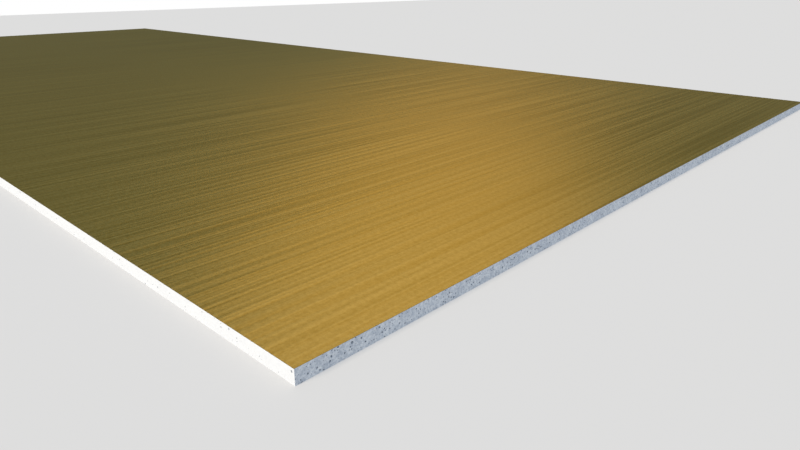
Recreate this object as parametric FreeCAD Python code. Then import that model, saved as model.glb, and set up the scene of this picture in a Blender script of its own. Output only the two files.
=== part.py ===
import FreeCAD, Part
import os

# Vinyl-faced gypsum panel: a full sheet of square-edged gypsum board with a decorative vinyl film
# bonded to one face. Millimetres, +Z up. The sheet lies on its bare back, film side up, and the
# origin is the middle of the back: X runs along the sheet, Y across it, Z through its thickness.

# Driving dimensions
BOARD_LENGTH = 2700.0    # between the two sawn ends, along X
BOARD_WIDTH = 1200.0     # between the two long edges, along Y
BOARD_THICKNESS = 12.5   # the gypsum board by itself
FILM_THICKNESS = 0.25    # the vinyl film with its adhesive
FILM_SETBACK = 0.0       # from the board's edge in to the film's edge: the film is trimmed flush


def sheet(length, width, thickness, underside):
    """A flat rectangular sheet, centred on the Z axis, whose lower face is at height underside."""
    corner = FreeCAD.Vector(-length / 2, -width / 2, underside)
    return Part.makeBox(length, width, thickness, corner)


def gypsum_board():
    """The cast gypsum board, square at all four edges, lying on its back."""
    return sheet(BOARD_LENGTH, BOARD_WIDTH, BOARD_THICKNESS, underside=0.0)


def vinyl_film():
    """The film, laminated on the board's face: its lower face is the board's upper face."""
    length = BOARD_LENGTH - 2 * FILM_SETBACK
    width = BOARD_WIDTH - 2 * FILM_SETBACK
    return sheet(length, width, FILM_THICKNESS, underside=BOARD_THICKNESS)


SUB_PARTS = {
    "gypsum_board": gypsum_board,
    "vinyl_film": vinyl_film,
}

os.makedirs("parts", exist_ok=True)
for node, make in SUB_PARTS.items():
    make().exportStep(f"parts/{node}.step")
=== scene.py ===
import math

import bmesh
import bpy
from mathutils import Matrix, Vector


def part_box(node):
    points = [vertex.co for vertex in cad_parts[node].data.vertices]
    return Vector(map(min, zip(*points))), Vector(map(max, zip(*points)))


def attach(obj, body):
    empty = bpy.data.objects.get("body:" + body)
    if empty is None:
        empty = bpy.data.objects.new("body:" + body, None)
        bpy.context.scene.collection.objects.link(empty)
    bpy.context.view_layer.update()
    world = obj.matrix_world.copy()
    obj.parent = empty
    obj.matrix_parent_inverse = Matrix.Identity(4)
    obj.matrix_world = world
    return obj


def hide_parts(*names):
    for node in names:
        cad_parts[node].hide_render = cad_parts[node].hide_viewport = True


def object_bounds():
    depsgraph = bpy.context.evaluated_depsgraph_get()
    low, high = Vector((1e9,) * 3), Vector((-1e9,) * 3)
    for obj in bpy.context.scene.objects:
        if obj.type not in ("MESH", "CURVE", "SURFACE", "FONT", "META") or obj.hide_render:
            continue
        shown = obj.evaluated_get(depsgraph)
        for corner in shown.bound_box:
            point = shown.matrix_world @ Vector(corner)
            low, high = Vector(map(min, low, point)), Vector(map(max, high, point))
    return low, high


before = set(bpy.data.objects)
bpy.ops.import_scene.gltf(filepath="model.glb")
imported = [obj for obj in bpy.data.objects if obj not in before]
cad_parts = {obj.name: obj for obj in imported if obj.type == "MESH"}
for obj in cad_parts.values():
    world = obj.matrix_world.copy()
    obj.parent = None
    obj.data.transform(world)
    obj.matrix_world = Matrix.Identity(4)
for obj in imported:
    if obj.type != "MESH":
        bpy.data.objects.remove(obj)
cad_low, cad_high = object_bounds()


# ---- Camera ------------------------------------------------------------------------------
# It stands just off the near corner, about 0.2 m above the film, and looks down the sheet from
# its sawn end towards the far long edge. A wide lens takes in the whole width.

near_corner = Vector((cad_high.x, cad_low.y, cad_high.z))
eye_from_corner = Vector((0.2652, -0.1859, 0.2187))
look_azimuth = math.radians(43.6)
look_down = math.radians(21.59)

camera_data = bpy.data.cameras.new("camera")
camera_data.sensor_width = 36.0
camera_data.lens = 28.09
camera_data.clip_start = 0.01
camera = bpy.data.objects.new("camera", camera_data)
camera.location = near_corner + eye_from_corner
camera.rotation_euler = (math.pi / 2 - look_down, 0.0, look_azimuth)
bpy.context.scene.collection.objects.link(camera)
bpy.context.scene.camera = camera
bpy.context.scene.view_settings.view_transform = "Standard"


# ---- Studio ------------------------------------------------------------------------------
# A pale matt floor with a white board beyond its far edge, a cool even fill from the whole room, a
# warm soft key from the long side, and a long softbox overhead that shows only in the film's gloss.


class Wire:
    """One output socket in a node tree. Sums and products of wires add their own Math nodes."""

    def __init__(self, tree, socket=None):
        self.tree = tree
        self.socket = socket

    def node(self, kind, settings=(), values=(), out=0):
        """Adds a node: first its settings, then a value or a wire for each of its sockets."""
        made = self.tree.nodes.new(kind)
        for name, value in dict(settings).items():
            setattr(made, name, value)
        for name, value in dict(values).items():
            if isinstance(value, Wire):
                self.tree.links.new(value.socket, made.inputs[name])
            else:
                made.inputs[name].default_value = value
        return Wire(self.tree, made.outputs[out] if len(made.outputs) else None)

    def pick(self, name):
        """Another output of the node that this wire comes from."""
        return Wire(self.tree, self.socket.node.outputs[name])

    def math(self, operation, other, turned=False):
        """A Math node on this wire and another wire or number. Turned puts the other one first."""
        values = (other, self) if turned else (self, other)
        return self.node("ShaderNodeMath", {"operation": operation}, enumerate(values))

    def __add__(self, other):
        return self.math("ADD", other)

    def __sub__(self, other):
        return self.math("SUBTRACT", other)

    def __rsub__(self, other):
        return self.math("SUBTRACT", other, turned=True)

    def __mul__(self, other):
        return self.math("MULTIPLY", other)

    def __truediv__(self, other):
        return self.math("DIVIDE", other)

    __radd__ = __add__
    __rmul__ = __mul__

    def ramp(self, low, high, to_low=0.0, to_high=1.0):
        """Takes low..high smoothly to to_low..to_high."""
        return self.node(
            "ShaderNodeMapRange",
            {"interpolation_type": "SMOOTHSTEP"},
            {"Value": self, "From Min": low, "From Max": high, "To Min": to_low, "To Max": to_high},
        )

    def tint(self, colour_a, colour_b):
        """colour_a where this wire is 0, colour_b where it is 1."""
        return self.node(
            "ShaderNodeMix",
            {"data_type": "RGBA"},
            {0: self, 6: colour_a, 7: colour_b},
            out=2,
        )


def new_material(name):
    """An empty material, and the wire that its nodes are added to."""
    material = bpy.data.materials.new(name)
    material.use_nodes = True
    material.node_tree.nodes.clear()
    return material, Wire(material.node_tree)


def finish_material(tree, shader):
    """Ends a material's tree with this shader."""
    tree.node("ShaderNodeOutputMaterial", values={"Surface": shader})


fill_colour = (0.41, 0.49, 0.59, 1.0)

world = bpy.data.worlds.new("studio")
world.use_nodes = True
world.node_tree.nodes.clear()
room = Wire(world.node_tree)
backdrop = room.node("ShaderNodeBackground", values={"Color": fill_colour})
room.node("ShaderNodeOutputWorld", values={"Surface": backdrop})
bpy.context.scene.world = world

# Half of the floor's tone is its own, which keeps the shadow and the bounced light on it faint.
floor_grey = (0.730, 0.730, 0.730, 1.0)
floor_glow = 0.5
floor_back_edge = -3.3
floor_reach = 60.0
board_white = (1.0, 1.0, 1.0, 1.0)
board_glow = 1.0


def ground(name, x_from, x_to, colour, glow):
    """Flat ground at the height that the sheet lies on. Glow is how much of its tone is its own."""
    mesh = bpy.data.meshes.new(name)
    near = [(x_from, -floor_reach, cad_low.z), (x_to, -floor_reach, cad_low.z)]
    far = [(x_to, floor_reach, cad_low.z), (x_from, floor_reach, cad_low.z)]
    mesh.from_pydata(near + far, [], [(0, 1, 2, 3)])
    paint, tree = new_material(name)
    lit = tree.node("ShaderNodeBsdfDiffuse", values={"Color": colour})
    glowing = tree.node("ShaderNodeEmission", values={"Color": colour})
    finish_material(tree, tree.node("ShaderNodeMixShader", values={0: glow, 1: lit, 2: glowing}))
    mesh.materials.append(paint)
    piece = bpy.data.objects.new(name, mesh)
    bpy.context.scene.collection.objects.link(piece)


ground("floor", floor_back_edge, floor_reach, floor_grey, floor_glow)
ground("white_board", -floor_reach, floor_back_edge, board_white, board_glow)

key_width = math.radians(18.0)
key_colour = (1.0, 0.86, 0.68)
key_power = 3.5
key_from = Vector((-0.06, -0.85, 0.53))

key_data = bpy.data.lights.new("key", "SUN")
key_data.angle = key_width
key_data.color = key_colour
key_data.energy = key_power
key = bpy.data.objects.new("key", key_data)
key.rotation_euler = key_from.to_track_quat("Z", "Y").to_euler()
bpy.context.scene.collection.objects.link(key)

softbox_length = 2.876
softbox_width = 1.592
softbox_power = 22.1
softbox_middle = Vector((0.324, 0.871, cad_high.z + 1.184))
softbox_aim = Vector((1.467, 0.961, cad_high.z))
softbox_turn = 0.244

softbox_data = bpy.data.lights.new("softbox", "AREA")
softbox_data.shape = "ELLIPSE"
softbox_data.size = softbox_length
softbox_data.size_y = softbox_width
softbox_data.energy = softbox_power
softbox = bpy.data.objects.new("softbox", softbox_data)
softbox.location = softbox_middle
softbox_facing = (softbox_middle - softbox_aim).to_track_quat("Z", "Y").to_matrix()
softbox.rotation_euler = (softbox_facing @ Matrix.Rotation(softbox_turn, 3, "Z")).to_euler()
softbox.visible_diffuse = False
softbox.visible_camera = False
bpy.context.scene.collection.objects.link(softbox)


# ---- Gypsum board ------------------------------------------------------------------------
# The core of the sheet: set gypsum plaster, cast between rollers and sawn to length. Its long
# edges are cast and nearly closed; its sawn ends show the air bubbles of the foamed plaster.

board_low, board_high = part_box("gypsum_board")
board_size = board_high - board_low

# The edges are laid out in cells this wide, and a bubble sits inside one cell.
cell = 0.0025
rows = round(board_size.z / cell)


def add_edge_strip(bm, start, along, count):
    """One edge of the board as a strip of small quads, from the corner start along that edge."""
    step = along / count
    up = Vector((0.0, 0.0, board_size.z / rows))
    grid = []
    for i in range(count + 1):
        grid.append([bm.verts.new(start + step * i + up * j) for j in range(rows + 1)])
    for left, right in zip(grid, grid[1:]):
        for j in range(rows):
            bm.faces.new((left[j], right[j], right[j + 1], left[j + 1]))


corners = [
    Vector((board_low.x, board_low.y, board_low.z)),
    Vector((board_high.x, board_low.y, board_low.z)),
    Vector((board_high.x, board_high.y, board_low.z)),
    Vector((board_low.x, board_high.y, board_low.z)),
]
bm = bmesh.new()
for here, there in zip(corners, corners[1:] + corners[:1]):
    add_edge_strip(bm, here, there - here, round((there - here).length / cell))
rim_mesh = bpy.data.meshes.new("rim")
bm.to_mesh(rim_mesh)
bm.free()
rim = bpy.data.objects.new("rim", rim_mesh)
bpy.context.scene.collection.objects.link(rim)

# Plaster mixes a pale and a dull tone in three grains, each with its scale and its share. The sawn
# ends show all of it, the cast faces only a little, about one even tone. The bubbles' walls and
# bottoms are painted darker, as painted shade.
plaster_pale = (0.83, 0.86, 0.89, 1.0)
plaster_dull = (0.475, 0.52, 0.59, 1.0)
# Painted shade: the colour that the bubbles' walls and bottoms are darkened towards.
pore_painted_shade = (0.17, 0.19, 0.24, 1.0)
cloud_scale = 110.0
cloud_share = 0.3
mottle_scale = 420.0
mottle_share = 0.45
grit_scale = 1400.0
grit_share = 0.25
cast_contrast = 0.15
cast_tone = 0.50
grain_depth = 0.0004
grain_strength = 0.5
plaster_smooth = 0.86
plaster_rough = 0.98
plaster_shine = 0.1

gypsum, tree = new_material("gypsum")
place = tree.node("ShaderNodeTexCoord", out="Object")
sawn = tree.node("ShaderNodeAttribute", {"attribute_name": "sawn"}, out="Fac")
painted_pore_shade = tree.node("ShaderNodeAttribute", {"attribute_name": "painted_pore_shade"}, out="Fac")


def plaster_noise(scale, detail):
    """One grain of the plaster."""
    return tree.node("ShaderNodeTexNoise", values={"Vector": place, "Scale": scale, "Detail": detail})


cloud = plaster_noise(cloud_scale, detail=3.0)
mottle = plaster_noise(mottle_scale, detail=2.0)
grit = plaster_noise(grit_scale, detail=1.0)
tone = (
    cloud.ramp(0.36, 0.64) * cloud_share
    + mottle.ramp(0.38, 0.62) * mottle_share
    + grit.ramp(0.36, 0.64) * grit_share
)
contrast = sawn * (1 - cast_contrast) + cast_contrast
tone = (tone - cast_tone) * contrast + cast_tone
relief = tree.node(
    "ShaderNodeBump",
    values={
        "Strength": grain_strength,
        "Distance": grain_depth,
        "Height": mottle * 0.6 + grit * 0.4,
    },
)
# Inside the bubbles the plaster's tone is darkened by the stored amount: painted shade.
finish_material(
    tree,
    tree.node(
        "ShaderNodeBsdfPrincipled",
        values={
            "Base Color": painted_pore_shade.tint(tone.tint(plaster_pale, plaster_dull), pore_painted_shade),
            "Roughness": mottle.ramp(0.3, 0.7, plaster_smooth, plaster_rough),
            "Specular IOR Level": plaster_shine,
            "Normal": relief,
        },
    ),
)


def new_geometry_tree(name, inputs):
    """A geometry node tree with one geometry in, one out and these named number inputs."""
    tree = bpy.data.node_groups.new(name, "GeometryNodeTree")
    tree.interface.new_socket("Geometry", in_out="INPUT", socket_type="NodeSocketGeometry")
    for label, kind in inputs.items():
        tree.interface.new_socket(label, in_out="INPUT", socket_type=kind)
    tree.interface.new_socket("Geometry", in_out="OUTPUT", socket_type="NodeSocketGeometry")
    return tree


def finish_geometry(tree, shape, material):
    """Ends a geometry node tree with its shape in this material."""
    shape = tree.node("GeometryNodeRealizeInstances", values={"Geometry": shape})
    shape = tree.node("GeometryNodeSetMaterial", values={"Geometry": shape, "Material": material})
    tree.node("NodeGroupOutput", values={"Geometry": shape})


def apply_tree(piece, tree, settings):
    """Runs the tree on the piece with these settings. Keeps only the plain mesh that comes out."""
    modifier = piece.modifiers.new(tree.name, "NODES")
    modifier.node_group = tree
    for item in tree.interface.items_tree:
        if item.in_out == "INPUT" and item.name in settings:
            modifier[item.identifier] = settings[item.name]
    depsgraph = bpy.context.evaluated_depsgraph_get()
    made = bpy.data.meshes.new_from_object(piece.evaluated_get(depsgraph))
    piece.modifiers.remove(modifier)
    bpy.data.objects.remove(piece)
    return made


# The bubbles: the strips' corners are shaken within their face, the mesh is turned into the cells
# round those corners, and some cells are pressed in, most of them small.
corner_shake = 0.38
smallest_bubble = 0.15
bubble_spread = 0.5
bubble_bottom = 0.55
shallow = -0.4
deep = -1.0
# How much painted shade the bubbles get: the walls a share of it, the bottoms all of it, each bubble
# between a faint and a deep amount.
wall_shade_share = 0.7
faint_pit_shade = 0.35
deep_pit_shade = 0.9
rounding = 0.0001
merge_gap = 0.00001

pores = new_geometry_tree(
    "pores",
    {
        "Cell": "NodeSocketFloat",
        "Height": "NodeSocketFloat",
        "End share": "NodeSocketFloat",
        "Long edge share": "NodeSocketFloat",
        "Depth": "NodeSocketFloat",
        "Seed": "NodeSocketInt",
    },
)
tree = Wire(pores)
given = tree.node("NodeGroupInput")


def random_between(low, high, turn):
    """A number between low and high for each face; another turn gives other numbers."""
    return tree.node(
        "FunctionNodeRandomValue",
        {"data_type": "FLOAT"},
        {2: low, 3: high, "Seed": given.pick("Seed") + turn},
        out=1,
    )


def vector_math(operation, first, second):
    """One sum on two vectors, each a wire or three numbers."""
    return tree.node("ShaderNodeVectorMath", {"operation": operation}, {0: first, 1: second})


facing = vector_math("ABSOLUTE", tree.node("GeometryNodeInputNormal"), (0.0, 0.0, 0.0))
position = tree.node("GeometryNodeInputPosition")
height = tree.node("ShaderNodeSeparateXYZ", values={0: position}, out="Z")
above_back = height.math("GREATER_THAN", rounding)
below_face = height.math("LESS_THAN", given.pick("Height") - rounding)
inside = above_back * below_face
faces_round = tree.node("GeometryNodeInputMeshVertexNeighbors", out="Face Count")
full_corner = faces_round.math("GREATER_THAN", 3.5)
shake = tree.node(
    "FunctionNodeRandomValue",
    {"data_type": "FLOAT_VECTOR"},
    {0: (-1.0, -1.0, -1.0), 1: (1.0, 1.0, 1.0), "Seed": given.pick("Seed")},
)
shake = vector_math("MULTIPLY", shake, vector_math("SUBTRACT", (1.0, 1.0, 1.0), facing))
shake = tree.node(
    "ShaderNodeVectorMath",
    {"operation": "SCALE"},
    {0: shake, "Scale": given.pick("Cell") * corner_shake},
)
shape = tree.node(
    "GeometryNodeSetPosition",
    values={
        "Geometry": given.pick("Geometry"),
        "Selection": inside * full_corner,
        "Offset": shake,
    },
)
shape = tree.node("GeometryNodeTriangulate", values={"Mesh": shape})
shape = tree.node("GeometryNodeDualMesh", values={"Mesh": shape, "Keep Boundaries": True})
on_end = tree.node("ShaderNodeSeparateXYZ", values={0: facing}, out="X").math("GREATER_THAN", 0.5)
share = on_end * given.pick("End share") + (1 - on_end) * given.pick("Long edge share")
is_pore = random_between(0.0, 1.0, 1).math("LESS_THAN", share)


def store(shape, name, value):
    """Writes a number onto each face, for the material to read under this name."""
    return tree.node(
        "GeometryNodeStoreNamedAttribute",
        {"data_type": "FLOAT", "domain": "FACE"},
        {"Geometry": shape, "Name": name, "Value": value},
    )


def press_in(shape, selection, depth, scale):
    """Presses in each chosen face by itself and scales it. Gives the mesh, that face and its walls."""
    shape = tree.node(
        "GeometryNodeExtrudeMesh",
        {"mode": "FACES"},
        {"Mesh": shape, "Selection": selection, "Offset Scale": depth, "Individual": True},
    )
    top, side = shape.pick("Top"), shape.pick("Side")
    scaled = tree.node(
        "GeometryNodeScaleElements",
        {"domain": "FACE"},
        {"Geometry": shape, "Selection": top, "Scale": scale},
    )
    return scaled, top, side


shape = store(shape, "sawn", on_end)
rarity = random_between(0.0, 1.0, 2)
bubble_size = rarity * rarity * rarity * bubble_spread + smallest_bubble
shape, mouth, _ = press_in(shape, is_pore, 0.0, bubble_size)
sink = given.pick("Depth") * random_between(deep, shallow, 3)
shape, pit, wall = press_in(shape, mouth, sink, bubble_bottom)
# Each bubble's walls and bottom store how much painted shade the material gives them.
shape = store(shape, "painted_pore_shade", (wall * wall_shade_share + pit) * random_between(faint_pit_shade, deep_pit_shade, 4))
shape = tree.node("GeometryNodeMergeByDistance", values={"Geometry": shape, "Distance": merge_gap})
finish_geometry(tree, shape, gypsum)

board_mesh = apply_tree(
    rim,
    pores,
    {
        "Cell": cell,
        "Height": board_size.z,
        "End share": 0.54,
        "Long edge share": 0.08,
        "Depth": 0.0014,
        "Seed": 11,
    },
)

# The two broad faces close the ring of edges.
bm = bmesh.new()
bm.from_mesh(board_mesh)
bmesh.ops.holes_fill(bm, edges=[edge for edge in bm.edges if edge.is_boundary])
bmesh.ops.recalc_face_normals(bm, faces=bm.faces)
bm.to_mesh(board_mesh)
bm.free()
board = bpy.data.objects.new("gypsum_core", board_mesh)
bpy.context.scene.collection.objects.link(board)
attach(board, "root")
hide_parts("gypsum_board")


# ---- Vinyl film --------------------------------------------------------------------------
# A decorative foil glued over the whole face and trimmed flush. It is printed olive, washed with
# bronze flakes, and embossed with shallow brush lines that run across the sheet.

film_low, film_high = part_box("vinyl_film")
film_size = film_high - film_low
film_middle = (film_low + film_high) / 2
grid_across = 0.002
grid_along = 0.040

bm = bmesh.new()
bmesh.ops.create_grid(
    bm,
    x_segments=round(film_size.x / grid_across),
    y_segments=round(film_size.y / grid_along),
    size=0.5,
)
bmesh.ops.scale(bm, vec=(film_size.x, film_size.y, 1.0), verts=bm.verts)
bmesh.ops.translate(bm, vec=(film_middle.x, film_middle.y, film_high.z), verts=bm.verts)
face_mesh = bpy.data.meshes.new("film_face")
bm.to_mesh(face_mesh)
bm.free()
face = bpy.data.objects.new("film_face", face_mesh)
bpy.context.scene.collection.objects.link(face)

# The print is olive, darker and paler along the lines and from flake to flake, and the bronze over
# it covers a quarter of it. The paler lines are a little rougher. A line is given by its width and
# its length, and each kind of line and the flakes have their share of the tone.
olive_deep = (0.001, 0.029, 0.0140, 1.0)
olive_pale = (0.023, 0.075, 0.0430, 1.0)
bronze_deep = (0.73, 0.385, 0.059, 1.0)
bronze_pale = (1.00, 0.535, 0.085, 1.0)
bronze_edge = (1.0, 0.73, 0.44, 1.0)
bronze_share = 0.25
smooth_line = 0.340
rough_line = 0.400
wide_line = (0.0062, 0.65)
wide_share = 0.35
fine_line = (0.0036, 0.60)
fine_share = 0.65
hair_line = (0.0020, 0.35)
hair_share = 0.35
flake_scale = 240.0
flake_share = 0.45
line_depth = 0.0003

film_finish, tree = new_material("brushed_film")
place = tree.node("ShaderNodeTexCoord", out="Object")


def streaks(across, along):
    """Brush streaks as noise: so many metres across a streak, so many along it."""
    scale = (1 / across, 1 / along, 1.0)
    stretched = tree.node("ShaderNodeMapping", values={"Vector": place, "Scale": scale})
    return tree.node("ShaderNodeTexNoise", values={"Vector": stretched, "Scale": 1.0, "Detail": 0.0})


lines = streaks(*wide_line) * wide_share + streaks(*fine_line) * fine_share
hairs = streaks(*hair_line)
flakes = tree.node(
    "ShaderNodeTexNoise",
    values={"Vector": place, "Scale": flake_scale, "Detail": 4.0, "Roughness": 0.85},
)
line_tone = lines.ramp(0.36, 0.64) * (1 - hair_share) + hairs.ramp(0.3, 0.7) * hair_share
flake_tone = flakes.ramp(0.35, 0.65)
film_tone = line_tone * (1 - flake_share) + flake_tone * flake_share
gloss = line_tone.ramp(0.0, 1.0, smooth_line, rough_line)
relief = tree.node(
    "ShaderNodeBump",
    values={
        "Strength": 1.0,
        "Distance": line_depth,
        "Height": lines * 0.7 + hairs * 0.2 + flakes * 0.1,
    },
)
print_layer = tree.node(
    "ShaderNodeBsdfPrincipled",
    values={
        "Base Color": film_tone.tint(olive_deep, olive_pale),
        "Roughness": gloss,
        "Specular IOR Level": 0.0,
        "Normal": relief,
    },
)
bronze_layer = tree.node(
    "ShaderNodeBsdfPrincipled",
    values={
        "Base Color": film_tone.tint(bronze_deep, bronze_pale),
        "Metallic": 1.0,
        "Specular Tint": bronze_edge,
        "Roughness": gloss,
        "Normal": relief,
    },
)
finish_material(
    tree,
    tree.node("ShaderNodeMixShader", values={0: bronze_share, 1: print_layer, 2: bronze_layer}),
)

# The brush lines embossed in the sheet: three noises drawn out along the lines. Each layer is so
# many times finer than the widest line, and has its share of the height.
brush_layers = ((1, 0.12), (2, 0.3), (3.7, 0.33))
layer_step = 2.15

brush = new_geometry_tree(
    "brush_lines",
    {
        "Height": "NodeSocketFloat",
        "Widest line": "NodeSocketFloat",
        "Line length": "NodeSocketFloat",
        "Seed": "NodeSocketFloat",
    },
)
tree = Wire(brush)
given = tree.node("NodeGroupInput")
axes = tree.node("ShaderNodeSeparateXYZ", values={0: tree.node("GeometryNodeInputPosition")})
across = axes.pick("X") / given.pick("Widest line")
along = axes.pick("Y") / given.pick("Line length")
lift = 0.0
for layer, (finer, share) in enumerate(brush_layers):
    spot = tree.node(
        "ShaderNodeCombineXYZ",
        values={0: across * finer, 1: along, 2: given.pick("Seed") + layer_step * layer},
    )
    ridges = tree.node("ShaderNodeTexNoise", values={"Vector": spot, "Scale": 1.0, "Detail": 0.0})
    lift = (ridges - 0.5) * given.pick("Height") * share + lift
shape = tree.node(
    "GeometryNodeSetPosition",
    values={
        "Geometry": given.pick("Geometry"),
        "Offset": tree.node("ShaderNodeCombineXYZ", values={2: lift}),
    },
)
finish_geometry(tree, shape, film_finish)

film_mesh = apply_tree(
    face,
    brush,
    {"Height": 0.0007, "Widest line": 0.0165, "Line length": 0.65, "Seed": 3.35},
)

# The film's cut edges go down to the board, and its underside closes it. Only the brushed face is
# smooth, with a sharp line round it.
facing_up = 0.9
sharp_angle = 0.5

bm = bmesh.new()
bm.from_mesh(film_mesh)
skirt = bmesh.ops.extrude_edge_only(bm, edges=[edge for edge in bm.edges if edge.is_boundary])
for item in skirt["geom"]:
    if isinstance(item, bmesh.types.BMVert):
        item.co.z = film_low.z
bmesh.ops.holes_fill(bm, edges=[edge for edge in bm.edges if edge.is_boundary])
bmesh.ops.recalc_face_normals(bm, faces=bm.faces)
for polygon in bm.faces:
    polygon.smooth = polygon.normal.z > facing_up
for edge in bm.edges:
    edge.smooth = edge.calc_face_angle(0.0) < sharp_angle
bm.to_mesh(film_mesh)
bm.free()
film = bpy.data.objects.new("film", film_mesh)
bpy.context.scene.collection.objects.link(film)
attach(film, "root")
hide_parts("vinyl_film")
